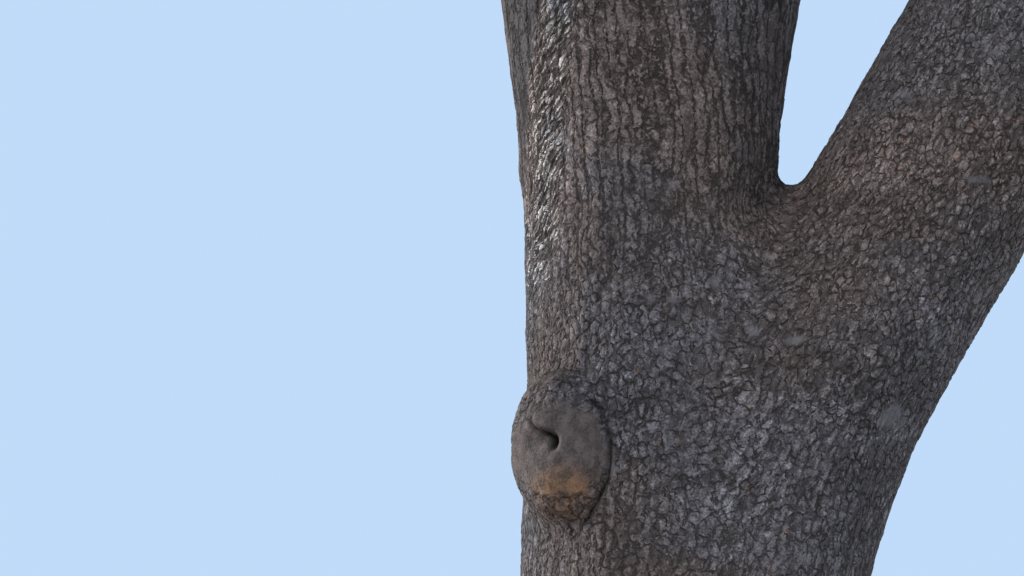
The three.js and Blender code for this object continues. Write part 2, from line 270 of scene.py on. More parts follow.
class Knit:
    """Adds nodes to a shader tree or a geometry tree and joins them."""

    def __init__(self, tree):
        self.tree = tree
        self.geometry = tree.bl_idname == "GeometryNodeTree"

    def node(self, kind, **settings):
        made = self.tree.nodes.new(kind)
        for name, value in settings.items():
            setattr(made, name, value)
        return made

    def join(self, socket, value):
        """Links a socket to another node's output, or gives it a plain value."""
        if isinstance(value, bpy.types.NodeSocket):
            self.tree.links.new(value, socket)
        else:
            socket.default_value = value

    def fill(self, node, sockets, output=0):
        for key, value in sockets.items():
            self.join(node.inputs[key], value)
        return node.outputs[output]

    def math(self, operation, *values):
        made = self.node("ShaderNodeMath", operation=operation)
        return self.fill(made, dict(enumerate(values)))

    def plus(self, a, b):
        return self.math("ADD", a, b)

    def times(self, a, b):
        return self.math("MULTIPLY", a, b)

    def line(self, value, slope, start):
        """A value times a slope, on from a start."""
        return self.math("MULTIPLY_ADD", value, slope, start)

    def faded(self, value, by, share):
        """A value that loses up to a share of itself as another one goes from 0 to 1."""
        return self.times(value, self.line(by, -share, 1.0))

    def vector(self, operation, *values):
        made = self.node("ShaderNodeVectorMath", operation=operation)
        output = "Value" if operation in ("DOT_PRODUCT", "LENGTH") else "Vector"
        return self.fill(made, dict(enumerate(values)), output)

    def scaled(self, vector, size):
        made = self.node("ShaderNodeVectorMath", operation="SCALE")
        return self.fill(made, {0: vector, "Scale": size})

    def joined(self, x, y, z):
        return self.fill(self.node("ShaderNodeCombineXYZ"), {0: x, 1: y, 2: z})

    def parts(self, vector):
        made = self.node("ShaderNodeSeparateXYZ")
        self.join(made.inputs[0], vector)
        return made.outputs[0], made.outputs[1], made.outputs[2]

    def ramp(self, value, low, high, to_low=0.0, to_high=1.0):
        """A smooth step of a value from low to high."""
        made = self.node("ShaderNodeMapRange", interpolation_type="SMOOTHSTEP")
        ends = {"Value": value, "From Min": low, "From Max": high}
        return self.fill(made, {**ends, "To Min": to_low, "To Max": to_high})

    def mix(self, share, a, b):
        made = self.node("ShaderNodeMix", data_type="FLOAT")
        return self.fill(made, {0: share, 2: a, 3: b})

    def mix_vectors(self, share, a, b):
        made = self.node("ShaderNodeMix", data_type="VECTOR")
        return self.fill(made, {0: share, 4: a, 5: b}, 1)

    def mix_colours(self, share, a, b, blend="MIX"):
        made = self.node("ShaderNodeMix", data_type="RGBA", blend_type=blend)
        return self.fill(made, {0: share, 6: a, 7: b}, 2)

    def noise(self, place, scale, detail=2.0, output=0):
        made = self.node("ShaderNodeTexNoise")
        return self.fill(made, {"Vector": place, "Scale": scale, "Detail": detail}, output)

    def drift(self, place, scale, reach, detail=2.0):
        """A vector that wanders evenly to both sides, up to about half of reach."""
        wander = self.vector("SUBTRACT", self.noise(place, scale, detail, 1), (0.5, 0.5, 0.5))
        return self.scaled(wander, reach)

    def cell_edges(self, place, dimensions="3D"):
        """How far a point is from the edges of the cells."""
        kind = {"feature": "DISTANCE_TO_EDGE", "voronoi_dimensions": dimensions}
        made = self.node("ShaderNodeTexVoronoi", **kind)
        return self.fill(made, {"Vector": place, "Scale": 1.0}, "Distance")

    def tilted_cells(self, place):
        """For each cell a tone, a slope that leads a way of its own, and a dome."""
        made = self.node("ShaderNodeTexVoronoi", feature="F1")
        self.fill(made, {"Vector": place, "Scale": 1.0})
        colour, middle = made.outputs["Color"], made.outputs["Position"]
        way = self.vector("SUBTRACT", colour, (0.5, 0.5, 0.5))
        tilt = self.vector("DOT_PRODUCT", self.vector("SUBTRACT", place, middle), way)
        dome = self.ramp(made.outputs["Distance"], 0.7, 0.1)
        return self.parts(colour)[0], tilt, dome

    def spot(self):
        """Where a point lies in the tree's own frame."""
        if self.geometry:
            return self.node("GeometryNodeInputPosition").outputs[0]
        return self.node("ShaderNodeTexCoord").outputs["Object"]

    def attribute(self, name, kind="FLOAT"):
        if self.geometry:
            made = self.node("GeometryNodeInputNamedAttribute", data_type=kind)
            made.inputs["Name"].default_value = name
            return made.outputs[0]
        made = self.node("ShaderNodeAttribute", attribute_name=name)
        return made.outputs["Vector" if kind == "FLOAT_VECTOR" else "Fac"]


def rgba(colour):
    return (*colour, 1.0)


# The cells that divide the bark, as how many fit in a metre round a stem, inwards and along it
COLUMNS = (27.0, 27.0, 0.0)
PLATES = (36.0, 36.0, 27.0)
LARGE_PLATES = (25.0, 25.0, 15.0)
FLAKES = (80.0, 80.0, 64.0)
CURLED_FLAKES = (36.0, 36.0, 108.0)
CURL_SLANT = 0.9

# How far the cells' borders wander: the scales of the noise that bends them, and how far it does
BENDS = ((4.5, 0.06, 2.0), (20.0, 0.018, 1.0))
ROUGH_SCALE = 62.0
ROUGH_REACH = 0.017


def wandering_place(knit, name):
    """Coordinates that run up a stem, bent so that what follows them wanders."""
    place = bent = knit.attribute(name, "FLOAT_VECTOR")
    for scale, reach, detail in BENDS:
        bent = knit.vector("ADD", bent, knit.drift(place, scale, reach, detail))
    return bent


def store_fields(knit, geometry):
    """Stores the bark's slow changes on the skin's points, as named attributes."""
    left = knit.attribute("bark_left", "FLOAT_VECTOR")
    side = knit.attribute("bark_side")
    wander = knit.line(knit.noise(left, 9.0, 3.0), SEAM_WANDER * 2, -SEAM_WANDER)
    side = knit.plus(side, wander)
    fields = [
        ("bark_side", "FLOAT", side),
        ("patches", "FLOAT", knit.noise(left, 3.2, 4.0)),
        ("opening", "FLOAT", knit.noise(left, 13.0, 2.0)),
        ("flaky", "FLOAT", knit.ramp(knit.noise(left, 5.0, 2.0), 0.4, 0.6, 0.3, 1.0)),
        ("warmth", "FLOAT", knit.noise(left, 1.9, 3.0)),
        ("rubbed", "FLOAT", knit.ramp(knit.noise(left, 11.0, 1.0), 0.69, 0.77)),
        ("swell", "FLOAT", knit.noise(left, 6.5, 3.0)),
        ("bark_left", "FLOAT_VECTOR", wandering_place(knit, "bark_left")),
        ("bark_right", "FLOAT_VECTOR", wandering_place(knit, "bark_right")),
    ]
    for name, kind, value in fields:
        keeper = knit.node("GeometryNodeStoreNamedAttribute", data_type=kind, domain="POINT")
        geometry = knit.fill(keeper, {"Geometry": geometry, "Name": name, "Value": value})
    return geometry


def upright_cracks(knit, rough, broad, opening, waver):
    """Cracks that wander up the stem, wide in places and closed in others."""
    edge = knit.cell_edges(knit.vector("MULTIPLY", rough, COLUMNS), "2D")
    width = knit.ramp(opening, 0.38, 0.62, 0.07, 0.18)
    share = knit.line(broad, 0.5, 0.5)
    share = knit.times(share, knit.ramp(waver, 0.36, 0.48))
    return knit.times(knit.ramp(edge, 0.02, width, 1.0, 0.0), share)


def plate_cells(knit, rough, broad, opening, waver):
    """Plates a little taller than wide and larger on the upright stem, each tilted its own way."""
    large = knit.math("GREATER_THAN", knit.line(opening, 1.2, broad), 1.1)
    place = knit.vector("MULTIPLY", rough, knit.mix_vectors(large, PLATES, LARGE_PLATES))
    width = knit.ramp(opening, 0.38, 0.62, 0.14, 0.06)
    share = knit.line(broad, -0.25, 0.95)
    share = knit.times(share, knit.ramp(waver, 0.60, 0.46))
    crack = knit.ramp(knit.cell_edges(place), 0.01, width, 1.0, 0.0)
    return knit.times(crack, share), *knit.tilted_cells(place)


def flake_cells(knit, rough, opening, rugged):
    """Small flakes over the plates, and wide slanting ones with pits between them on the strip."""
    curled = knit.math("GREATER_THAN", knit.line(opening, 0.8, rugged), 0.75)
    slant = knit.times(knit.parts(rough)[0], knit.times(curled, CURL_SLANT))
    place = knit.vector("ADD", rough, knit.joined(0.0, 0.0, slant))
    place = knit.vector("MULTIPLY", place, knit.mix_vectors(curled, FLAKES, CURLED_FLAKES))
    tone, tilt, dome = knit.tilted_cells(place)
    return knit.times(knit.ramp(dome, 0.32, 0.04), rugged), tone, tilt, dome


def bark_pattern(knit):
    """The bark's cracks, plates and tones, most of them from 0 to 1."""
    side = knit.attribute("bark_side")
    on_right = knit.math("GREATER_THAN", side, 0.0)
    left = knit.attribute("bark_left", "FLOAT_VECTOR")
    place = knit.mix_vectors(on_right, left, knit.attribute("bark_right", "FLOAT_VECTOR"))
    broad, opening = knit.attribute("broad_plates"), knit.attribute("opening")
    rubbed, rugged = knit.attribute("rubbed"), knit.attribute("rugged")
    spot = knit.spot()
    grain = knit.noise(spot, ROUGH_SCALE, 2.0, 1)
    rough = knit.scaled(knit.vector("SUBTRACT", grain, (0.5, 0.5, 0.5)), ROUGH_REACH)
    rough = knit.vector("ADD", place, rough)
    waver = knit.parts(grain)[2]
    ring = knit.line(knit.noise(spot, 17.0, 3.0), 0.7, knit.attribute("knot_ring"))
    callus = knit.ramp(ring, 1.46, 1.18)

    crack = upright_cracks(knit, rough, broad, opening, waver)
    plate_crack, plate_tone, plate_tilt, plate_dome = plate_cells(knit, rough, broad, opening, waver)
    pit, flake_tone, flake_tilt, flake_dome = flake_cells(knit, rough, opening, rugged)
    seam = knit.ramp(knit.math("ABSOLUTE", side), 0.002, 0.012, 1.0, 0.0)
    for other in (plate_crack, pit, knit.times(seam, 0.35)):
        crack = knit.math("MAXIMUM", crack, other)
    flaky = knit.faded(knit.attribute("flaky"), broad, 0.5)
    flaky = knit.math("MAXIMUM", flaky, knit.times(rugged, 3.2))
    flaky = knit.faded(flaky, rubbed, 0.8)
    return {
        "crack": knit.faded(knit.faded(crack, callus, 0.88), rubbed, 0.8),
        "plate_tone": plate_tone,
        "plate_tilt": plate_tilt,
        "plate_dome": knit.faded(plate_dome, broad, 0.7),
        "flake_tone": flake_tone,
        "flake_tilt": knit.times(flake_tilt, flaky),
        "flake_dome": knit.times(flake_dome, flaky),
        "fine": knit.noise(spot, 150.0, 3.0),
        "callus": callus,
    }


# How much each part of the pattern lifts the bark, and how much it brightens it; the domes' share of
# the brightening is a painted highlight on plate and flake middles, with painted shade at their rims
BARK_LIFTS = {
    "plate_tone": 0.2,
    "plate_tilt": 0.9,
    "flake_tilt": 0.6,
    "plate_dome": 0.25,
    "flake_dome": 0.15,
}
BARK_TONES = {
    "plate_tone": 0.26,
    "flake_tone": 0.44,
    # Painted highlight in the middles of plates and flakes, painted shade towards their rims
    "plate_dome": 0.22,
    "flake_dome": 0.36,
    "patches": 0.6,
    "opening": 0.4,
    "fine": 1.7,
    # The broad plates are paler, partly their own colour and partly painted light where the stem faces
    # the light
    "broad_plates": 0.24,
}


def plate_height(knit, bark):
    """How high the bark stands, from the foot of its cracks at 0 to the top of its plates at 1."""
    lift = 0.45
    for name, rise in BARK_LIFTS.items():
        lift = knit.line(bark[name], rise, lift)
    lift = knit.mix(knit.times(bark["callus"], 0.85), lift, 0.7)
    return knit.faded(lift, bark["crack"], 0.9)


def new_tree(name, inputs):
    """An empty geometry tree with named inputs, given as name, kind of socket and default."""
    tree = bpy.data.node_groups.new(name, "GeometryNodeTree")
    tree.interface.new_socket("Geometry", in_out="INPUT", socket_type="NodeSocketGeometry")
    for label, kind, value in inputs:
        socket = tree.interface.new_socket(label, in_out="INPUT", socket_type="NodeSocket" + kind)
        if value is not None:
            socket.default_value = value
    tree.interface.new_socket("Geometry", in_out="OUTPUT", socket_type="NodeSocketGeometry")
    return tree


def end_tree(knit, geometry, material):
    """Ends a tree with its instances realized and its material set."""
    realized = knit.fill(knit.node("GeometryNodeRealizeInstances"), {0: geometry})
    setter = knit.node("GeometryNodeSetMaterial")
    done = knit.fill(setter, {"Geometry": realized, "Material": material})
    knit.join(knit.node("NodeGroupOutput").inputs[0], done)


def evaluated_mesh(piece):
    """The mesh that a piece's modifiers make."""
    depsgraph = bpy.context.evaluated_depsgraph_get()
    return bpy.data.meshes.new_from_object(piece.evaluated_get(depsgraph), depsgraph=depsgraph)


def run_tree(piece, tree, values):
    """Gives a piece the mesh that a geometry tree makes of it, and takes the modifier off."""
    modifier = piece.modifiers.new(tree.name, "NODES")
    modifier.node_group = tree
    for item in tree.interface.items_tree:
        if item.in_out == "INPUT" and item.name in values:
            modifier[item.identifier] = values[item.name]
    made = evaluated_mesh(piece)
    piece.modifiers.remove(modifier)
    old = piece.data
    piece.data = made
    bpy.data.meshes.remove(old)
    return piece


def relief_tree(wood):
    """Moves the wood's skin out and in along its normals by the bark's pattern."""
    inputs = [
        ("Plate depth", "Float", wood.plate_depth),
        ("Swell depth", "Float", wood.swell_depth),
        ("Material", "Material", None),
    ]
    tree = new_tree("Bark relief", inputs)
    knit = Knit(tree)
    given = knit.node("NodeGroupInput")
    bark = bark_pattern(knit)
    plates = knit.times(plate_height(knit, bark), given.outputs["Plate depth"])
    swell = knit.math("SUBTRACT", knit.attribute("swell"), 0.5)
    swell = knit.times(swell, given.outputs["Swell depth"])
    height = knit.plus(plates, knit.faded(swell, bark["callus"], 0.6))
    normal = knit.node("GeometryNodeInputNormal").outputs[0]
    moved = knit.node("GeometryNodeSetPosition")
    geometry = store_fields(knit, given.outputs["Geometry"])
    geometry = knit.fill(moved, {"Geometry": geometry, "Offset": knit.scaled(normal, height)})
    end_tree(knit, geometry, given.outputs["Material"])
    return tree


# Materials: the cool and the warm grey that the bark drifts between, the size of the healed wood's
# mottles, and how deep the bump is for each metre of the plates' depth
COOL_TINT = (0.93, 1.0, 1.09)
WARM_TINT = (1.06, 0.97, 0.92)
MOTTLES = (34.0, 34.0, 24.0)
BUMP_PER_DEPTH = 1.9


def new_material(name):
    """A material, the helper for its nodes, and its shader."""
    material = bpy.data.materials.new(name)
    material.use_nodes = True
    return material, Knit(material.node_tree), material.node_tree.nodes["Principled BSDF"]


def set_gloss(shader, roughness, specular):
    shader.inputs["Roughness"].default_value = roughness
    shader.inputs["Specular IOR Level"].default_value = specular


def set_bump(knit, shader, height, distance):
    bump = knit.node("ShaderNodeBump")
    bump.inputs["Distance"].default_value = distance
    knit.join(bump.inputs["Height"], height)
    knit.join(shader.inputs["Normal"], bump.outputs[0])


def plate_colours(knit, wood, bark):
    """The plates from dark to pale by their tone, and past that the flakes of painted sunlight on the
    strip.
    """
    tone = 0.42
    for name, force in BARK_TONES.items():
        value = bark[name] if name in bark else knit.attribute(name)
        tone = knit.plus(knit.line(value, force, -0.5 * force), tone)
    # On the strip the flakes' tones are pushed past pale, towards the colour of painted sunlight
    sunlit_tone = knit.line(bark["flake_tone"], 2.4, -1.15)
    tone = knit.line(knit.attribute("rugged"), sunlit_tone, tone)
    colour = rgba(wood.plate_dark)
    for low, high, paler in (
        (0.0, 0.5, wood.plate_grey),
        (0.5, 1.0, wood.plate_pale),
        (1.0, 1.6, wood.sunlit_flake_colour),
    ):
        colour = knit.mix_colours(knit.ramp(tone, low, high), colour, rgba(paler))
    return colour


def weathered_colours(knit, wood, bark, colour):
    """Odd flakes where the bark has come off, a drift from cool to warm grey, worn spots, and dark
    painted shade along the upright stem's outer edge.
    """
    broad = knit.attribute("broad_plates")
    odd = knit.times(bark["flake_tone"], knit.ramp(knit.attribute("patches"), 0.5, 0.6))
    odd = knit.ramp(odd, 0.975, 0.985, 0.0, 0.5)
    colour = knit.mix_colours(odd, colour, rgba(wood.flake_colour))
    warmth = knit.line(broad, 0.14, knit.attribute("warmth"))
    warmth = knit.line(knit.attribute("rugged"), -0.10, warmth)
    warmth = knit.ramp(warmth, 0.42, 0.66)
    tint = knit.mix_colours(warmth, rgba(COOL_TINT), rgba(WARM_TINT))
    colour = knit.mix_colours(1.0, colour, tint, "MULTIPLY")
    rubbed = knit.line(broad, -0.5, 0.6)
    rubbed = knit.times(knit.attribute("rubbed"), rubbed)
    colour = knit.mix_colours(rubbed, colour, rgba(wood.rubbed_colour))
    # Painted shade along the upright stem's outer edge, left of the strip
    return knit.mix_colours(knit.attribute("edge"), colour, rgba(wood.shaded_edge_colour))


def healed_colours(knit, wood, bark, colour):
    """The healed knot's smooth mottled wood over the bark's colour, with its tan patch."""
    mottled = knit.noise(knit.vector("MULTIPLY", knit.spot(), MOTTLES), 1.0, 4.0)
    tan = knit.times(knit.attribute("tan"), knit.ramp(mottled, 0.3, 0.55, 0.45, 1.0))
    healed = knit.mix_colours(tan, rgba(wood.callus_colour), rgba(wood.callus_tan))
    shade = knit.line(bark["fine"], 1.4, -0.7)
    shade = knit.plus(shade, knit.ramp(mottled, 0.32, 0.68, 0.72, 1.24))
    healed = knit.mix_colours(1.0, healed, knit.joined(shade, shade, shade), "MULTIPLY")
    share = knit.math("MAXIMUM", bark["callus"], knit.times(tan, 0.7))
    return knit.mix_colours(share, colour, healed)


def bark_material(wood, name):
    """Grey plates of uneven tone between dark cracks, smoother and browner on the healed knot."""
    material, knit, shader = new_material(name)
    bark = bark_pattern(knit)
    colour = plate_colours(knit, wood, bark)
    colour = weathered_colours(knit, wood, bark, colour)
    colour = healed_colours(knit, wood, bark, colour)
    # Painted shade: cracks, pits, the stems' seam and the knot's marks darken towards the crack colour,
    # over their real relief
    dark = knit.math("MAXIMUM", bark["crack"], knit.attribute("hollow"))
    dark = knit.times(dark, 0.86)
    colour = knit.mix_colours(dark, colour, rgba(wood.crack_shade_colour))
    knit.join(shader.inputs["Base Color"], colour)
    set_gloss(shader, 0.88, 0.22)
    height = knit.plus(plate_height(knit, bark), knit.times(bark["fine"], 0.35))
    set_bump(knit, shader, height, BUMP_PER_DEPTH * wood.plate_depth)
    return material


def branch_material(wood):
    """Thin bark: grey, finely ridged along the branch, with paler patches."""
    material, knit, shader = new_material("young bark")
    place = knit.spot()
    patches = knit.noise(place, 7.0, 3.0)
    fine = knit.noise(place, 60.0, 3.0)
    tone = knit.plus(knit.times(patches, 0.6), knit.times(fine, 0.4))
    share = knit.ramp(tone, 0.36, 0.64)
    colour = knit.mix_colours(share, rgba(wood.plate_dark), rgba(wood.plate_pale))
    knit.join(shader.inputs["Base Color"], colour)
    set_gloss(shader, 0.85, 0.25)
    set_bump(knit, shader, fine, 0.004)
    return material


def mottled_material(name, low, high, scale, roughness, specular):
    """A finish that varies softly between two colours."""
    material, knit, shader = new_material(name)
    share = knit.ramp(knit.noise(knit.spot(), scale, 2.0), 0.35, 0.65)
    knit.join(shader.inputs["Base Color"], knit.mix_colours(share, rgba(low), rgba(high)))
    set_gloss(shader, roughness, specular)
    return material


def twig_material(crown):
    """Brown young bark in a darker and a paler shade."""
    pale = tuple(min(1.0, 1.7 * part) for part in crown.twig_colour)
    return mottled_material("twig bark", crown.twig_colour, pale, 25.0, 0.8, 0.5)


# Leaf colours, dealt out by spray, from the darkest, for sprays deepest in their masses, to the palest,
# for those nearest the surface
LEAF_TINTS = {
    "leaves_deep": (0.030, 0.062, 0.016),
    "leaves_dark": (0.044, 0.088, 0.019),
    "leaves_mid": (0.064, 0.122, 0.024),
    "leaves_fresh": (0.092, 0.158, 0.030),
    "leaves_pale": (0.135, 0.200, 0.046),
}


def leaf_material(name, colour):
    """A leathery leaf: one green that varies a little from leaf to leaf, with a soft gloss."""
    darker = tuple(0.72 * part for part in colour)
    lighter = tuple(1.22 * part for part in colour)
    return mottled_material(name, darker, lighter, 11.0, 0.5, 0.4)


# Reading the frame's solids


def rows(items, key, width=3, kind=np.float64):
    """One of the values of a mesh's corners, edges or faces, as a row for each."""
    values = np.empty(len(items) * width, kind)
    items.foreach_get(key, values)
    return values.reshape(-1, width)


def mesh_places(mesh):
    return rows(mesh.vertices, "co")


def mesh_edges(mesh):
    return rows(mesh.edges, "vertices", 2, np.int32)


def crossing(name, point, way):
    """The points where a solid's edges cross a plane."""
    mesh = NODES[name].data
    corners, edges = mesh_places(mesh), mesh_edges(mesh)
    side = (corners - point) @ way
    start, end = side[edges[:, 0]], side[edges[:, 1]]
    cut = (start > 0) != (end > 0)
    share = start[cut] / (start[cut] - end[cut])
    first = corners[edges[cut, 0]]
    return first + (corners[edges[cut, 1]] - first) * share[:, None]


def level_ring(name, z):
    """The points where a solid's edges cross a level."""
    return crossing(name, np.array([0.0, 0.0, z]), np.array([0.0, 0.0, 1.0]))


@functools.cache
def centreline(name, steps=14):
    """A limb's middle line from its foot to its end, its radii, and its long axis."""
    corners = mesh_places(NODES[name].data)
    middle = corners.mean(0)
    axis = np.linalg.svd(corners - middle, full_matrices=False)[2][0]
    reach = (corners - middle) @ axis
    places = np.linspace(reach.min(), reach.max(), 2 * steps + 1)[1::2]
    rings = [crossing(name, middle + axis * place, axis) for place in places]
    points = np.array([ring.mean(0) for ring in rings])
    radii = np.array([np.linalg.norm(r - r.mean(0), axis=1).mean() for r in rings])
    if np.linalg.norm(points[0] - CROWN_FOOT) > np.linalg.norm(points[-1] - CROWN_FOOT):
        return points[::-1], radii[::-1], -axis
    return points, radii, axis


def stem_edge(upper, side):
    """A stem's outer edge seen from the front, as points in X and Z from the ground to past its top."""
    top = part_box(upper)[1].z - 0.01
    points = []
    for z in np.linspace(0.02, top, 64):
        if z < FORK_Z - 0.005:
            ring = level_ring("trunk", z)
        else:
            ring = level_ring(upper, max(z, FORK_Z + 0.01))
        points.append((side * (side * ring[:, 0]).max(), z))
    edge = np.array(points)
    kernel = np.ones(5) / 5
    edge[2:-2, 0] = np.convolve(edge[:, 0], kernel, "valid")
    return np.vstack([edge, 2 * edge[-1] - edge[-5]])


def along_curve(flat, curve):
    """How far points in X and Z lie across a curve, and how far up it."""
    spans = np.diff(curve, axis=0)
    lengths = np.linalg.norm(spans, axis=1)
    before = np.concatenate([[0], np.cumsum(lengths)])
    nearest = np.full(len(flat), np.inf)
    across = np.zeros(len(flat))
    along = np.zeros(len(flat))
    for i, (start, span, length) in enumerate(zip(curve[:-1], spans, lengths)):
        rel = flat - start
        share = np.clip(rel @ span / length**2, 0, 1)
        gap = rel - share[:, None] * span
        away = np.hypot(gap[:, 0], gap[:, 1])
        side = np.sign(rel[:, 0] * span[1] - rel[:, 1] * span[0])
        closer = away < nearest
        nearest[closer] = away[closer]
        across[closer] = (away * side)[closer]
        along[closer] = (before[i] + share * length)[closer]
    return across, along


def from_line(flat, line):
    """How far points in X and Z are from a line."""
    return np.abs(along_curve(flat, np.array(line))[0])


# The wood's skin: how far copies of the solids overlap, how far the trunk's goes under the cut, how
# much the bark's pattern changes with depth, and how far the stems' tops are evened out
SKIN_OVERLAP = 0.0012
DEPTH_SHARE = 0.4
STEM_TOP_REACH = 0.38
FOOT_EXTRA = 0.2

# Where a stem passes into its leaders, and how far up a leader the passage goes
PASSAGES = (
    ("left_stem", "left_leader", 0.5),
    ("left_stem", "centre_leader", 0.5),
    ("right_stem", "right_leader", 0.8),
)


def new_object(name, data):
    made = bpy.data.objects.new(name, data)
    bpy.context.scene.collection.objects.link(made)
    return made


def mesh_of(name, shape):
    """Turns a bmesh into a mesh and frees it."""
    mesh = bpy.data.meshes.new(name)
    shape.to_mesh(mesh)
    shape.free()
    return mesh


def merged_solid(name):
    """A copy of one of the frame's solids, with its loose faces joined."""
    solid = bmesh.new()
    solid.from_mesh(NODES[name].data)
    bmesh.ops.remove_doubles(solid, verts=solid.verts, dist=MERGE)
    return solid


def add_solid(joined, solid):
    """Joins one solid's mesh to the others and frees it."""
    copy = mesh_of("solid", solid)
    joined.from_mesh(copy)
    bpy.data.meshes.remove(copy)


def passage(stem, leader, rise):
    """A solid that leads a stem's top over into a leader without a step."""
    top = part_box(stem)[1].z
    solid = bmesh.new()
    for name, z in ((stem, top - 0.02), (leader, top + rise)):
        for place in level_ring(name, z):
            solid.verts.new(place)
    bmesh.ops.convex_hull(solid, input=solid.verts)
    return solid


def coarse_skin(wood):
    """One closed skin over copies of the stems' and limbs' solids."""
    joined = bmesh.new()
    for stem, leader, rise in PASSAGES:
        add_solid(joined, passage(stem, leader, rise))
    for name in STEM_NAMES + LIMB_NAMES:
        solid = merged_solid(name)
        solid.normal_update()
        for corner in solid.verts:
            corner.co += corner.normal * SKIN_OVERLAP
            if name == "trunk" and corner.co.z < MERGE:
                corner.co.z = -FOOT_EXTRA
        add_solid(joined, solid)
    skin = new_object("skin", mesh_of("skin", joined))
    remesh = skin.modifiers.new("Skin", "REMESH")
    remesh.mode = "VOXEL"
    remesh.voxel_size = wood.skin_step
    made = evaluated_mesh(skin)
    old = skin.data
    bpy.data.objects.remove(skin)
    bpy.data.meshes.remove(old)
    return made


def set_places(mesh, places):
    mesh.vertices.foreach_set("co", places.astype(np.float32).ravel())
    mesh.update()


def relax(mesh, rounds, pull, push, weights=1.0):
    """Evens out a mesh, pulling each point to its neighbours and pushing it back to keep its girth."""
    places = mesh_places(mesh)
    a, b = mesh_edges(mesh).T
    count = len(places)
    neighbours = (np.bincount(a, minlength=count) + np.bincount(b, minlength=count))[:, None]
    for _ in range(rounds):
        for share in (pull, -push):
            total = np.empty_like(places)
            for k in range(3):
                total[:, k] = np.bincount(a, places[b, k], count) + np.bincount(b, places[a, k], count)
            places += share * weights * (total / neighbours - places)
    set_places(mesh, places)


def near_stem_tops(mesh):
    """How near each point is to where a stem passes into its leaders, from 0 to 1."""
    places = mesh_places(mesh)
    tops = np.where(seam_side(places) < 0, LEFT_TOP_Z, RIGHT_TOP_Z)
    return bell(places[:, 2] - tops, STEM_TOP_REACH)[:, None]


def in_view(middle):
    return middle.y < VIEW_BACK_Y and VIEW_LOW_Z < middle.z < VIEW_HIGH_Z


def on_stems(middle):
    return middle.z < LEFT_TOP_Z + 0.1


def refine(mesh, wanted):
    """Halves the faces that are wanted."""
    fine = bmesh.new()
    fine.from_mesh(mesh)
    edges = {e for f in fine.faces if wanted(f.calc_center_median()) for e in f.edges}
    bmesh.ops.subdivide_edges(fine, edges=list(edges), cuts=1, use_grid_fill=True)
    fine.to_mesh(mesh)
    fine.free()


def bell(distance, reach):
    return np.exp(-((distance / reach) ** 2))


def oval(flat, middle, reach):
    return np.hypot((flat[:, 0] - middle[0]) / reach[0], (flat[:, 1] - middle[1]) / reach[1])


def smooth(values, low, high):
    share = np.clip((values - low) / (high - low), 0, 1)
    return share * share * (3 - 2 * share)


def shape_knot(mesh):
    """Presses the knot's hole, lip, ridge and cracks into the skin."""
    places = mesh_places(mesh)
    normals = rows(mesh.vertices, "normal")
    flat = places[:, [0, 2]]
    near_knot = oval(flat, KNOT_MIDDLE, KNOT_REACH) < KNOT_SURROUND
    near = np.flatnonzero((places[:, 1] < KNOT_FRONT_Y) & near_knot)
    flat = flat[near]
    move = sum(depth * bell(oval(flat, middle, reach), 1.0) for depth, middle, reach in KNOT_SWELLINGS)
    for depth, reach, line in KNOT_LINES:
        move += depth * bell(from_line(flat, line), reach)
    places[near] += normals[near] * move[:, None]
    set_places(mesh, places)


def store(mesh, name, values):
    """Keeps one number or one vector for each point of a mesh."""
    vector = values.ndim > 1
    layer = mesh.attributes.new(name, "FLOAT_VECTOR" if vector else "FLOAT", "POINT")
    key = "vector" if vector else "value"
    layer.data.foreach_set(key, np.ascontiguousarray(values, np.float32).ravel())


def seam_side(places):
    """How far points lie to the right of the seam between the stems."""
    gaps = []
    for z in (FORK_Z + 0.02, LEFT_TOP_Z - 0.02):
        left = level_ring("left_stem", z)[:, 0].max()
        right = level_ring("right_stem", z)[:, 0].min()
        gaps.append(((left + right) / 2, z))
    line = np.array([(SEAM_FOOT[0], 0.0), SEAM_FOOT, *gaps])
    return places[:, 0] - np.interp(places[:, 2], line[:, 1], line[:, 0])


def stem_places(places):
    """Where points lie on each stem: round it, outwards from its middle and along its outer edge."""
    fields = []
    for upper, way in (("left_stem", -1), ("right_stem", 1)):
        edge = stem_edge(upper, way)
        ring = level_ring(upper, FORK_Z + 0.05)
        radius, middle_y = np.ptp(ring[:, 0]) / 2, (ring[:, 1].max() + ring[:, 1].min()) / 2
        middle_x = np.interp(places[:, 2], edge[:, 1], edge[:, 0]) - way * radius
        out, back = way * (places[:, 0] - middle_x), places[:, 1] - middle_y
        around = radius * np.arctan2(back, out)
        along = along_curve(places[:, [0, 2]], edge)[1]
        fields.append(np.stack([around, DEPTH_SHARE * np.hypot(out, back), along], axis=1))
    return fields


def limb_places(places, name):
    """Where points lie in a frame that is turned along a limb."""
    axis = centreline(name)[2]
    across = np.cross(axis, LIMB_SIDE)
    across /= np.linalg.norm(across)
    return places @ np.stack([across, np.cross(axis, across), axis], axis=1)


def mark_strip(mesh, places, side):
    """Marks the strip of raised flakes on the upright stem, with painted sunlight on them, and the
    painted shade of dark bark left of it.
    """
    height = places[:, 2]
    from_strip = places[:, 0] - np.interp(height, SUNLIT_RUGGED_STRIP[:, 1], SUNLIT_RUGGED_STRIP[:, 0])
    tall = smooth(height, *STRIP_STARTS) * (1 - smooth(height, *STRIP_ENDS))
    tall = tall * smooth(-places[:, 1], *STRIP_FRONT)
    # The strip's raised flakes, which also carry painted sunlight
    store(mesh, "rugged", tall * bell(from_strip, STRIP_REACH))
    # Dark bark left of the strip, as painted shade
    store(mesh, "edge", 0.75 * tall * smooth(-from_strip, *STRIP_TO_EDGE) * (side < 0))


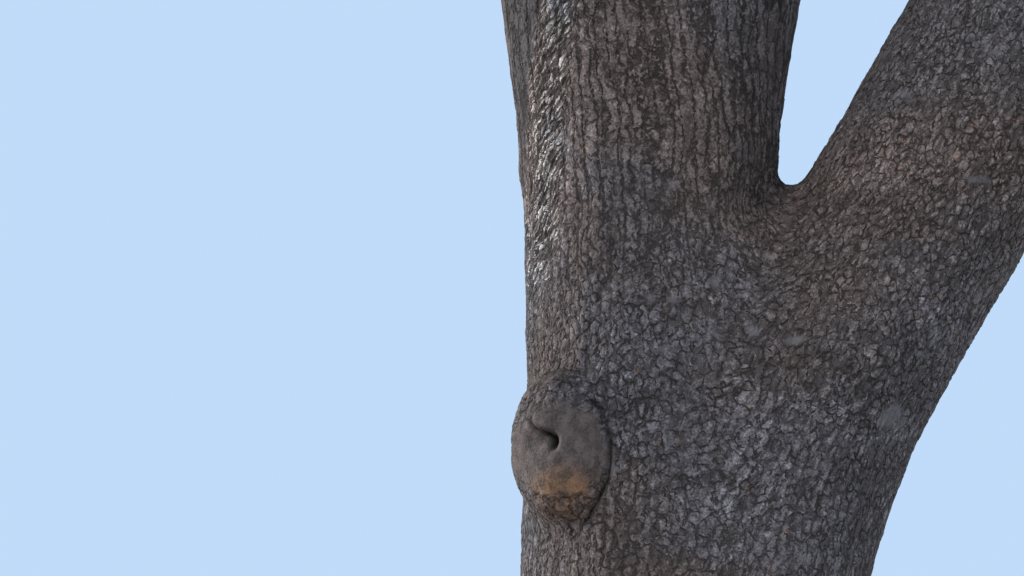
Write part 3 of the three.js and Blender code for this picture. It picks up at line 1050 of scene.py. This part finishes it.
def mark_knot(mesh, places):
    """Marks the knot's healed wood, its tan patch, and the painted shade in its hole and cracks."""
    flat = places[:, [0, 2]]
    front = smooth(-places[:, 1], *KNOT_FRONT)
    ring = oval(flat, KNOT_MIDDLE, KNOT_REACH)
    store(mesh, "knot_ring", ring + 2 * (1 - front))
    tan_ring = oval(flat, KNOT_TAN_MIDDLE, KNOT_TAN_REACH)
    store(mesh, "tan", front * (1 - smooth(tan_ring, *KNOT_TAN_FADE)))
    hollow = np.zeros(len(places))
    for line, reach, share in KNOT_SHADES:
        hollow = np.maximum(hollow, share * bell(from_line(flat, line), reach))
    # Painted shade in the knot's hole, along its lip and in its cracks
    store(mesh, "hollow", hollow * front)


def mark_bark(mesh):
    """Stores where each point lies on its own stem or limb, and what its bark is like there."""
    places = mesh_places(mesh)
    side = seam_side(places)
    left, right = stem_places(places)
    above = limb_points(places, side)
    nearest = nearest_limb(places[above])
    for i, name in enumerate(LIMB_NAMES):
        own = above[nearest == i]
        left[own] = right[own] = limb_places(places[own], name)
    side[above] = -1.0
    store(mesh, "bark_left", left)
    store(mesh, "bark_right", right)
    store(mesh, "bark_side", side)

    height = places[:, 2]
    broad = smooth(height, *BROAD_STARTS) * smooth(-side, *BROAD_FROM_SEAM)
    broad = np.maximum(broad, BROAD_LOW_SHARE * (1 - smooth(height, *BROAD_LOW_ENDS)))
    broad[above] = BROAD_LIMB_SHARE
    store(mesh, "broad_plates", broad)
    mark_strip(mesh, places, side)
    mark_knot(mesh, places)


def nearest_limb(places):
    """Which limb each point belongs to, as its number in LIMB_NAMES."""
    gaps = []
    for name in LIMB_NAMES:
        points, radii, _ = centreline(name)
        away = np.full(len(places), np.inf)
        for point, radius in zip(points, radii):
            away = np.minimum(away, np.linalg.norm(places - point, axis=1) / radius)
        gaps.append(away)
    return np.argmin(gaps, axis=0)


def limb_points(places, side):
    """Which points lie above the stems, on the leaders and boughs, past a border that wanders."""
    waves = np.sin(BORDER_WAVES * places[:, :2]).sum(1)
    height = places[:, 2] + BORDER_WANDER * waves
    high = (height > RIGHT_TOP_Z) | ((height > LEFT_TOP_Z) & (side < 0.0))
    return np.flatnonzero(high)


@functools.cache
def wood_skin():
    """The whole wood as one closed mesh with the bark's relief, as a piece without a place yet."""
    wood = bpy.context.scene.tree_wood
    mesh = coarse_skin(wood)
    relax(mesh, rounds=60, pull=0.60, push=0.62)
    relax(mesh, rounds=70, pull=0.60, push=0.50, weights=near_stem_tops(mesh))
    refine(mesh, on_stems)
    relax(mesh, rounds=6, pull=0.50, push=0.52)
    refine(mesh, in_view)
    relax(mesh, rounds=5, pull=0.50, push=0.52)
    shape_knot(mesh)
    mark_bark(mesh)
    mesh.shade_smooth()
    skin = new_object("wood", mesh)
    material = bark_material(wood, "scaly bark")
    return run_tree(skin, relief_tree(wood), {"Material": material})


def cap_holes(part, flat_cut):
    """Closes a part where it was divided, with edges that don't round its shading."""
    if flat_cut:
        everything = list(part.verts) + list(part.edges) + list(part.faces)
        bmesh.ops.bisect_plane(
            part, geom=everything, plane_co=(0, 0, 0), plane_no=(0, 0, 1), clear_inner=True
        )
    rims = [edge for edge in part.edges if edge.is_boundary]
    for edge in rims:
        edge.smooth = False
    made = bmesh.ops.holes_fill(part, edges=rims, sides=0)["faces"]
    for face in made:
        face.smooth = False
    bmesh.ops.poke(part, faces=made)


def cut_piece(name, keep, material, flat_cut=False):
    """The part of the wood whose faces are kept, as a closed piece of its own."""
    part = bmesh.new()
    part.from_mesh(wood_skin().data)
    part.faces.ensure_lookup_table()
    spare = [face for face, kept in zip(part.faces, keep) if not kept]
    bmesh.ops.delete(part, geom=spare, context="FACES")
    cap_holes(part, flat_cut)
    mesh = mesh_of(name, part)
    mesh.materials.clear()
    mesh.materials.append(material)
    return new_object(name, mesh)


def face_groups():
    """For each piece of the wood, which faces are its own and which solids it stands for."""
    mesh = wood_skin().data
    middles = rows(mesh.polygons, "center")
    side = seam_side(middles)
    height = middles[:, 2]
    limbs = np.zeros(len(middles), bool)
    limbs[limb_points(middles, side)] = True
    ring = oval(middles[:, [0, 2]], KNOT_MIDDLE, KNOT_REACH)
    knot = (ring < 1.0) & (middles[:, 1] < KNOT_FRONT_Y)
    stems = (height > STEM_FOOT_Z) & ~limbs
    trunk = ~stems & ~limbs & ~knot
    boughs = nearest_limb(middles) >= len(LEADER_NAMES)
    return {
        "trunk_foot": (trunk & (height < WAIST_Z), ["trunk"]),
        "trunk_waist": (trunk & (height >= WAIST_Z) & (height < CHEST_Z), ["trunk"]),
        "trunk_fork": (trunk & (height >= CHEST_Z), ["trunk"]),
        "left_stem_bark": (stems & (side < 0), ["left_stem"]),
        "right_stem_bark": (stems & (side >= 0), ["right_stem"]),
        "healed_knot": (knot, ["knot"]),
        "leader_bark": (limbs & ~boughs, LEADER_NAMES),
        "bough_bark": (limbs & boughs, BOUGH_NAMES),
    }


# The crown's growth


@functools.cache
def mass_shape(name):
    """A mass as a tree of its faces, for asking what lies inside it."""
    copy = merged_solid(name)
    shape = BVHTree.FromBMesh(copy)
    areas = [face.calc_area() for face in copy.faces]
    corners = [[corner.co.copy() for corner in face.verts] for face in copy.faces]
    copy.free()
    return shape, corners, areas


def depth_in(name, point):
    """How deep a point is inside a mass, below 0 outside it."""
    place, normal, _, away = mass_shape(name)[0].find_nearest(point)
    return away if (point - place).dot(normal) < 0 else -away


def in_other_mass(name, point):
    return any(depth_in(other, point) > 0 for other in MASS_NAMES if other != name)


# The branches' tips: how deep they lie under a mass's surface and how far apart they stay, how much
# of the surface's surround has to be open, and the share of tips that lie further in
TIP_DEPTH = (0.16, 0.62)
TIP_SPACING = 0.42
OPEN_REACH = 0.35
INNER_TIPS = 0.22
INNER_DEPTH = 0.7
INNER_SPREAD = (0.25, 0.8)
TRIES = 40

# Their growth: how far past a leader's end the mass lies that it feeds, what a turn and a long way
# round cost when a tip chooses what it grows from, how a branch leaves it, wanders and comes up to
# its tip, how its girth adds up from what it carries, how much of its limb's girth the first one
# has, and how far a branch's foot may flare
FEED_REACH = 0.6
TURN_COST = 0.7
WAY_COST = 0.22
LEAVE_ALONG = 0.8
LEAVE_REACH = 0.36
ARRIVE_REACH = 0.3
TIP_RISE = Vector((0, 0, 0.45))
BRANCH_STEP = 0.3
BRANCH_WANDER = 0.022
WANDER_SPAN = 1.2
PIPE_POWER = 2.25
LIMB_SHARE = 0.95
FOOT_FLARE = 1.25

# The leafy twigs: how far back from a branch's tip they start, how much they follow the branch, a
# way of their own, the way outwards and the way up, how far one may stick out of its mass and how
# much it turns back past that, and how far their tips sag for their length
SPRAY_BACK = 0.75
ALONG_SHARE = 0.55
WILD_SHARE = 0.95
OUT_SHARE = 0.45
SPRAY_RISE = Vector((0, 0, 0.25))
STICK_OUT = 0.04
TURN_BACK = 0.8
SPRAY_SAG = 0.16
TWIG_RADIUS = 0.0045

# Branches thicker than this are round, with eight sides, and thinner ones have five
ROUND_RADIUS = 0.03

# The leaves on a twig: how much their places along it vary, how far they lean forwards for their
# place and from the start, how much their ways and their faces vary, how they droop, and the least
# and the greatest size as a share of a full-grown leaf
LEAF_JITTER = 0.1
LEAF_FORWARD = (0.55, 0.35)
LEAF_WAY_SPREAD = 0.35
LEAF_FACE_SPREAD = 0.75
LEAF_DROOP = (0.0, 0.0, -0.18)
LEAF_SIZES = (0.72, 1.12)

# How much a spray's depth in its mass is blurred before the greens are dealt out by it
DEPTH_BLUR = 0.25


def choose_tips(name, count, dice):
    """Where a mass's branches end: most of them under its open surface, some deep inside."""
    _, corners, areas = mass_shape(name)
    middle = sum(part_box(name), Vector()) / 2
    tips = []
    for _ in range(count * TRIES):
        if len(tips) == count:
            break
        a, b, c = dice.choices(corners, areas)[0][:3]
        s, t = sorted((dice.random(), dice.random()))
        point = a * s + b * (t - s) + c * (1 - t)
        normal = (b - a).cross(c - a).normalized()
        if dice.random() < INNER_TIPS:
            tip = middle.lerp(point, dice.uniform(*INNER_SPREAD))
            if depth_in(name, tip) < INNER_DEPTH:
                continue
        else:
            if in_other_mass(name, point + normal * OPEN_REACH):
                continue
            tip = point - normal * dice.uniform(*TIP_DEPTH)
            if depth_in(name, tip) < TIP_DEPTH[0] * 0.8:
                continue
        if all((tip - other).length > TIP_SPACING for other in tips):
            tips.append(tip)
    return tips


def any_way(dice):
    return Vector([dice.gauss(0, 1) for _ in range(3)])


def grow_branches(start, way, tips, dice):
    """Joins tips to a limb's end. Returns chains of points and which chain each one grows from."""
    points = [start]
    ways = [way]
    reach = [0.0]
    chains = []
    for tip in sorted(tips, key=lambda tip: (tip - start).length):
        where = np.array(points)
        gaps = np.array(tip) - where
        away = np.linalg.norm(gaps, axis=1) + 1e-6
        turns = 1 - (gaps * np.array(ways)).sum(1) / away
        base = int(np.argmin(away * (1 + TURN_COST * turns) + WAY_COST * np.array(reach)))
        origin, heading, span = points[base], ways[base], away[base]
        to_tip = (tip - origin).normalized()
        leave = (heading * LEAVE_ALONG + to_tip).normalized()
        first = origin + leave * span * LEAVE_REACH
        last = tip - (to_tip + TIP_RISE).normalized() * span * ARRIVE_REACH
        steps = max(2, math.ceil(span / BRANCH_STEP))
        chain = [base]
        for i in range(1, steps + 1):
            t = i / steps
            u = 1 - t
            place = origin * u**3 + first * 3 * u * u * t + last * 3 * u * t * t + tip * t**3
            if i < steps:
                place += any_way(dice) * BRANCH_WANDER * min(span, WANDER_SPAN)
            previous = points[chain[-1]]
            points.append(place)
            ways.append((place - previous).normalized())
            reach.append(reach[chain[-1]] + (place - previous).length)
            chain.append(len(points) - 1)
        chains.append(chain)
    return points, chains


def branch_radii(count, chains, tip_radius):
    """Each point's radius, from the tips that it carries."""
    carried = np.zeros(count)
    for chain in reversed(chains):
        carried[chain[-1]] += tip_radius**PIPE_POWER
        for i in range(len(chain) - 1, 0, -1):
            carried[chain[i - 1]] += carried[chain[i]]
    return carried ** (1 / PIPE_POWER)


class Crown:
    """All branches and sprays of the crown."""

    def __init__(self, settings):
        self.dice = random.Random(settings.seed)
        self.branches = []
        self.spray_starts = []
        self.spray_ways = []
        self.spray_depths = []
        for name, (start, way, radius) in self.limb_ends().items():
            self.grow_mass(name, start, way, radius, settings)

    def limb_ends(self):
        """For each mass, where the limb that feeds it ends, which way and how thick."""
        ends = {}
        for limb in LIMB_NAMES:
            points, radii, _ = centreline(limb)
            tip = Vector(points[-1])
            way = (tip - Vector(points[-3])).normalized()
            fed = limb.replace("bough", "foliage")
            if fed not in MASS_NAMES:
                fed = max(MASS_NAMES, key=lambda name: depth_in(name, tip + way * FEED_REACH))
            ends[fed] = (tip, way, float(radii[-2]))
        return ends

    def grow_mass(self, name, start, way, radius, settings):
        """Grows a mass's branches from its limb's end, no thicker than the limb."""
        tips = choose_tips(name, settings.tips, self.dice)
        points, chains = grow_branches(start, way, tips, self.dice)
        radii = branch_radii(len(points), chains, settings.tip_radius)
        radii = radii * min(1.0, LIMB_SHARE * radius / radii[0])
        for chain in chains:
            path = [points[i] for i in chain]
            sizes = [radii[i] for i in chain]
            sizes[0] = min(sizes[0], sizes[1] * FOOT_FLARE)
            self.branches.append((path, sizes))
        self.place_sprays(name, points, chains, settings)

    def place_sprays(self, name, points, chains, settings):
        """Sets leafy twigs along the last part of each branch, mostly outwards and upwards."""
        middle = sum(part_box(name), Vector()) / 2
        each = settings.sprays / (len(MASS_NAMES) * settings.tips)
        for chain in chains:
            path = [points[i] for i in chain]
            tip = path[-1]
            out = (tip - middle).normalized()
            number = int(each) + (self.dice.random() < each % 1)
            for i in range(number):
                back = 0.0 if i == 0 else self.dice.uniform(0.0, SPRAY_BACK)
                base, heading = walk_back(path, back)
                wild = any_way(self.dice).normalized()
                way = heading * ALONG_SHARE + wild * WILD_SHARE + out * OUT_SHARE + SPRAY_RISE
                way.normalize()
                end = base + way * settings.spray_length
                if depth_in(name, end) < -STICK_OUT:
                    way = (way - out * TURN_BACK).normalized()
                self.spray_starts.append(base)
                self.spray_ways.append(way)
                self.spray_depths.append(depth_in(name, base))


def walk_back(path, back):
    """The point this far back from a path's end, and the path's way there."""
    for a, b in zip(path[-2::-1], path[:0:-1]):
        span = (b - a).length
        if back <= span:
            return b.lerp(a, back / span), (b - a) / span
        back -= span
    return path[0], (path[1] - path[0]).normalized()


@functools.cache
def crown_growth():
    return Crown(bpy.context.scene.tree_crown)


def tube(path, sizes, sides, first):
    """The points and faces of a closed tube along a path, with its faces numbered from first."""
    spots = np.array(path)
    ways = np.gradient(spots, axis=0)
    ways /= np.linalg.norm(ways, axis=1)[:, None]
    across = np.cross(ways[0], (0.3, 0.2, 0.9))
    across /= np.linalg.norm(across)
    angles = np.arange(sides) * 2 * math.pi / sides
    rings = []
    for spot, way, size in zip(spots, ways, sizes):
        across = across - way * (across @ way)
        across /= np.linalg.norm(across)
        beside = np.cross(way, across)
        ring = np.cos(angles)[:, None] * across + np.sin(angles)[:, None] * beside
        rings.append(spot + ring * size)
    places = np.concatenate(rings)
    faces = [tuple(first + i for i in reversed(range(sides)))]
    for r in range(len(path) - 1):
        for s in range(sides):
            a = first + r * sides + s
            b = first + r * sides + (s + 1) % sides
            faces.append((a, b, b + sides, a + sides))
    end = first + (len(path) - 1) * sides
    faces.append(tuple(end + i for i in range(sides)))
    return places, faces


def joined_tubes(name, branches):
    """One mesh of many tubes."""
    blocks = []
    faces = []
    first = 0
    for path, sizes in branches:
        places, more = tube(path, sizes, 8 if max(sizes) > ROUND_RADIUS else 5, first)
        blocks.append(places)
        faces.extend(more)
        first += len(places)
    mesh = bpy.data.meshes.new(name)
    mesh.from_pydata(np.concatenate(blocks), [], faces)
    mesh.shade_smooth()
    return new_object(name, mesh)


def twig_cones(name, crown, length):
    """One mesh of thin three-sided twigs that run out to a point."""
    starts = np.array(crown.spray_starts)
    ways = np.array(crown.spray_ways)
    across = np.cross(ways, (0.2, 0.3, 0.93))
    across /= np.linalg.norm(across, axis=1)[:, None]
    beside = np.cross(ways, across)
    corners = []
    for k in range(3):
        angle = 2 * math.pi * k / 3
        ring = across * math.cos(angle) + beside * math.sin(angle)
        corners.append(starts + ring * TWIG_RADIUS)
    corners.append(starts + ways * length - np.array([0, 0, 1]) * length * SPRAY_SAG)
    places = np.stack(corners, axis=1).reshape(-1, 3)
    base = np.arange(len(starts))[:, None] * 4
    faces = np.concatenate([base + row for row in ([0, 2, 1], [0, 1, 3], [1, 2, 3], [2, 0, 3])])
    mesh = bpy.data.meshes.new(name)
    mesh.from_pydata(places, [], faces.tolist())
    return new_object(name, mesh)


def leaf_blade(crown):
    """One leaf of six corners, folded a little along its middle, one metre long."""
    width = crown.leaf_width / crown.leaf_length
    half = width / 2
    lift = width * 0.16
    corners = [
        (0.0, 0.0, 0.0),
        (half * 0.86, 0.30, lift),
        (half * 0.90, 0.66, lift),
        (0.0, 1.0, -0.04),
        (-half * 0.90, 0.66, lift),
        (-half * 0.86, 0.30, lift),
    ]
    mesh = bpy.data.meshes.new("leaf blade")
    mesh.from_pydata(corners, [], [(0, 1, 2), (0, 2, 3), (0, 3, 4), (0, 4, 5)])
    return new_object("leaf blade", mesh)


def spray_tree(crown):
    """Turns each point into a leafy twig: leaves in a spiral along it, their faces mostly up."""
    inputs = [
        ("Blade", "Object", None),
        ("Leaves", "Int", crown.spray_leaves),
        ("Leaf length", "Float", crown.leaf_length),
        ("Twig length", "Float", crown.spray_length),
        ("Sag", "Float", SPRAY_SAG),
        ("Seed", "Int", 7),
        ("Material", "Material", None),
    ]
    tree = new_tree("Leafy twigs", inputs)
    knit = Knit(tree)
    given = knit.node("NodeGroupInput").outputs
    points = knit.fill(knit.node("GeometryNodeMeshToPoints"), {0: given["Geometry"]})
    copier = knit.node("GeometryNodeDuplicateElements", domain="POINT")
    copies = knit.fill(copier, {"Geometry": points, "Amount": given["Leaves"]})
    number = copier.outputs["Duplicate Index"]

    def random_value(low, high, offset):
        made = knit.node("FunctionNodeRandomValue", data_type="FLOAT")
        seed = knit.plus(given["Seed"], offset)
        return knit.fill(made, {2: low, 3: high, "Seed": seed}, 1)

    def random_vector(reach, offset):
        made = knit.node("FunctionNodeRandomValue", data_type="FLOAT_VECTOR")
        seed = knit.plus(given["Seed"], offset)
        return knit.fill(made, {0: (-reach,) * 3, 1: (reach,) * 3, "Seed": seed})

    way = knit.attribute("way", "FLOAT_VECTOR")
    share = knit.math("DIVIDE", knit.plus(number, 1.0), given["Leaves"])
    share = knit.plus(knit.times(share, 1 - LEAF_JITTER), random_value(0.0, LEAF_JITTER, 1.0))
    reach = knit.times(share, given["Twig length"])
    sag = knit.times(knit.times(share, share), given["Twig length"])
    sag = knit.times(sag, knit.times(given["Sag"], -1.0))
    offset = knit.vector("ADD", knit.scaled(way, reach), knit.joined(0.0, 0.0, sag))

    turn = knit.line(number, GOLDEN_TURN, knit.attribute("turn"))
    across = knit.vector("NORMALIZE", knit.vector("CROSS_PRODUCT", way, (0.21, 0.34, 0.91)))
    beside = knit.vector("CROSS_PRODUCT", way, across)
    around = knit.vector(
        "ADD",
        knit.scaled(across, knit.math("COSINE", turn)),
        knit.scaled(beside, knit.math("SINE", turn)),
    )
    forward = knit.line(share, *LEAF_FORWARD)
    leaf_way = knit.vector("ADD", around, knit.scaled(way, forward))
    leaf_way = knit.vector("ADD", leaf_way, random_vector(LEAF_WAY_SPREAD, 2.0))
    leaf_way = knit.vector("ADD", leaf_way, LEAF_DROOP)
    face_up = knit.vector("ADD", (0.0, 0.0, 1.0), random_vector(LEAF_FACE_SPREAD, 3.0))
    axes = knit.node("FunctionNodeAxesToRotation", primary_axis="Y", secondary_axis="Z")
    rotation = knit.fill(axes, {"Primary Axis": leaf_way, "Secondary Axis": face_up})
    size = knit.times(given["Leaf length"], random_value(*LEAF_SIZES, 4.0))

    placed = knit.fill(
        knit.node("GeometryNodeSetPosition"), {"Geometry": copies, "Offset": offset}
    )
    blade = knit.node("GeometryNodeObjectInfo", transform_space="ORIGINAL")
    knit.join(blade.inputs["Object"], given["Blade"])
    leaves = knit.fill(
        knit.node("GeometryNodeInstanceOnPoints"),
        {
            "Points": placed,
            "Instance": blade.outputs["Geometry"],
            "Rotation": rotation,
            "Scale": knit.joined(size, size, size),
        },
    )
    end_tree(knit, leaves, given["Material"])
    return tree


def settle(piece, slot, *nodes):
    """Hides the solids a piece stands for, and rides it on the tree's one body."""
    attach(piece, "root")
    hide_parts(*nodes)


class TREE_OT_wood(bpy.types.Operator):
    """Covers the trunk, stems, knot, leaders and boughs with bark"""

    bl_idname = "tree.wood"
    bl_label = "Wood and bark"

    def execute(self, context):
        bark = wood_skin().data.materials[0]
        healed = bark_material(context.scene.tree_wood, "healed wood")
        for name, (keep, nodes) in face_groups().items():
            knot = name == "healed_knot"
            piece = cut_piece(name, keep, healed if knot else bark, name == "trunk_foot")
            settle(piece, "callus" if knot else "bark", *nodes)
        bpy.data.objects.remove(wood_skin())
        return {"FINISHED"}


class TREE_OT_branches(bpy.types.Operator):
    """Grows the branches and leafy twigs on from the limbs into the crown"""

    bl_idname = "tree.branches"
    bl_label = "Branches and twigs"

    def execute(self, context):
        crown = crown_growth()
        settings = context.scene.tree_crown
        branches = joined_tubes("crown_branches", crown.branches)
        branches.data.materials.append(branch_material(context.scene.tree_wood))
        settle(branches, "bark", *MASS_NAMES)
        twigs = twig_cones("crown_twigs", crown, settings.spray_length)
        twigs.data.materials.append(twig_material(settings))
        settle(twigs, "bark", *MASS_NAMES)
        return {"FINISHED"}


class TREE_OT_leaves(bpy.types.Operator):
    """Sets the leaves on the crown's twigs, in five greens dealt out by spray"""

    bl_idname = "tree.leaves"
    bl_label = "Leaves"

    def execute(self, context):
        crown = crown_growth()
        settings = context.scene.tree_crown
        tree = spray_tree(settings)
        blade = leaf_blade(settings)
        dice = random.Random(settings.seed + 1)
        # Sprays deeper in their masses get the darker greens
        blurred_depths = [depth + dice.gauss(0, DEPTH_BLUR) for depth in crown.spray_depths]
        order = np.argsort(blurred_depths)[::-1]
        groups = np.array_split(order, len(LEAF_TINTS))
        for (name, colour), group in zip(LEAF_TINTS.items(), groups):
            mesh = bpy.data.meshes.new(name)
            mesh.from_pydata([crown.spray_starts[i] for i in group], [], [])
            store(mesh, "way", np.array([crown.spray_ways[i] for i in group]))
            store(mesh, "turn", np.array([dice.uniform(0, 2 * math.pi) for _ in group]))
            piece = new_object(name, mesh)
            material = leaf_material(name.replace("_", " "), colour)
            run_tree(piece, tree, {"Blade": blade, "Material": material})
            settle(piece, "leaves", *MASS_NAMES)
        bpy.data.objects.remove(blade)
        return {"FINISHED"}


# The photograph's view: from far in front, a little upwards, with a long lens
EYE = (-0.519, -16.0, 1.85)
AIM = (-0.519, 0.0, 3.264)
LENS = 188.2

# The lights: name, setting of its strength, where it comes from, its width in degrees and colour
SUNS = (
    ("high light", "key_power", (-0.55, -0.65, 0.85), 20, (1.0, 0.97, 0.92)),
    ("fill light", "fill_power", (0.9, -0.1, 0.6), 50, (1.0, 0.98, 0.95)),
    ("side light", "side_power", (-1.0, 0.45, 0.24), 12, (1.0, 0.96, 0.90)),
)


class TREE_OT_stage(bpy.types.Operator):
    """Makes the plain floor, the soft light and the camera"""

    bl_idname = "tree.stage"
    bl_label = "Floor, light and camera"

    def execute(self, context):
        settings = context.scene.tree_stage
        self.make_floor(settings)
        self.make_light(context, settings)
        camera = new_object("camera", bpy.data.cameras.new("camera"))
        camera.data.lens = LENS
        camera.data.clip_end = 4000
        camera.location = EYE
        view = Vector(AIM) - Vector(EYE)
        camera.rotation_euler = view.to_track_quat("-Z", "Y").to_euler()
        context.scene.camera = camera
        context.scene.view_settings.view_transform = "Standard"
        return {"FINISHED"}

    def make_floor(self, settings):
        disc = bmesh.new()
        bmesh.ops.create_circle(disc, cap_ends=True, segments=96, radius=settings.floor_radius)
        floor = new_object("floor", mesh_of("floor", disc))
        material, _, shader = new_material("floor")
        shader.inputs["Base Color"].default_value = rgba(settings.floor_colour)
        set_gloss(shader, 0.9, 0.0)
        floor.data.materials.append(material)

    def make_light(self, context, settings):
        world = bpy.data.worlds.new("surround")
        world.use_nodes = True
        background = world.node_tree.nodes["Background"]
        background.inputs["Color"].default_value = rgba(settings.sky_colour)
        context.scene.world = world
        for name, setting, source, width, colour in SUNS:
            lamp = bpy.data.lights.new(name, "SUN")
            lamp.energy = getattr(settings, setting)
            lamp.angle = math.radians(width)
            lamp.color = colour
            sun = new_object(name, lamp)
            sun.rotation_euler = Vector(source).to_track_quat("Z", "Y").to_euler()


class TREE_PT_panel(bpy.types.Panel):
    """Lists the tree's operators and settings"""

    bl_label = "Savanna tree"
    bl_idname = "TREE_PT_panel"
    bl_space_type = "VIEW_3D"
    bl_region_type = "UI"
    bl_category = "Tree"

    def draw(self, context):
        for operator in OPERATORS:
            self.layout.operator(operator.bl_idname)
        for group in (context.scene.tree_wood, context.scene.tree_crown, context.scene.tree_stage):
            box = self.layout.box()
            for name in type(group).__annotations__:
                box.prop(group, name)


OPERATORS = (TREE_OT_stage, TREE_OT_wood, TREE_OT_branches, TREE_OT_leaves)
CLASSES = (WoodSettings, CrownSettings, StageSettings, *OPERATORS, TREE_PT_panel)


def register():
    for item in CLASSES:
        bpy.utils.register_class(item)
    bpy.types.Scene.tree_wood = PointerProperty(type=WoodSettings)
    bpy.types.Scene.tree_crown = PointerProperty(type=CrownSettings)
    bpy.types.Scene.tree_stage = PointerProperty(type=StageSettings)


def unregister():
    del bpy.types.Scene.tree_stage
    del bpy.types.Scene.tree_crown
    del bpy.types.Scene.tree_wood
    for item in reversed(CLASSES):
        bpy.utils.unregister_class(item)


def main():
    register()
    bpy.ops.tree.stage()
    bpy.ops.tree.wood()
    bpy.ops.tree.branches()
    bpy.ops.tree.leaves()


if __name__ == "__main__":
    main()
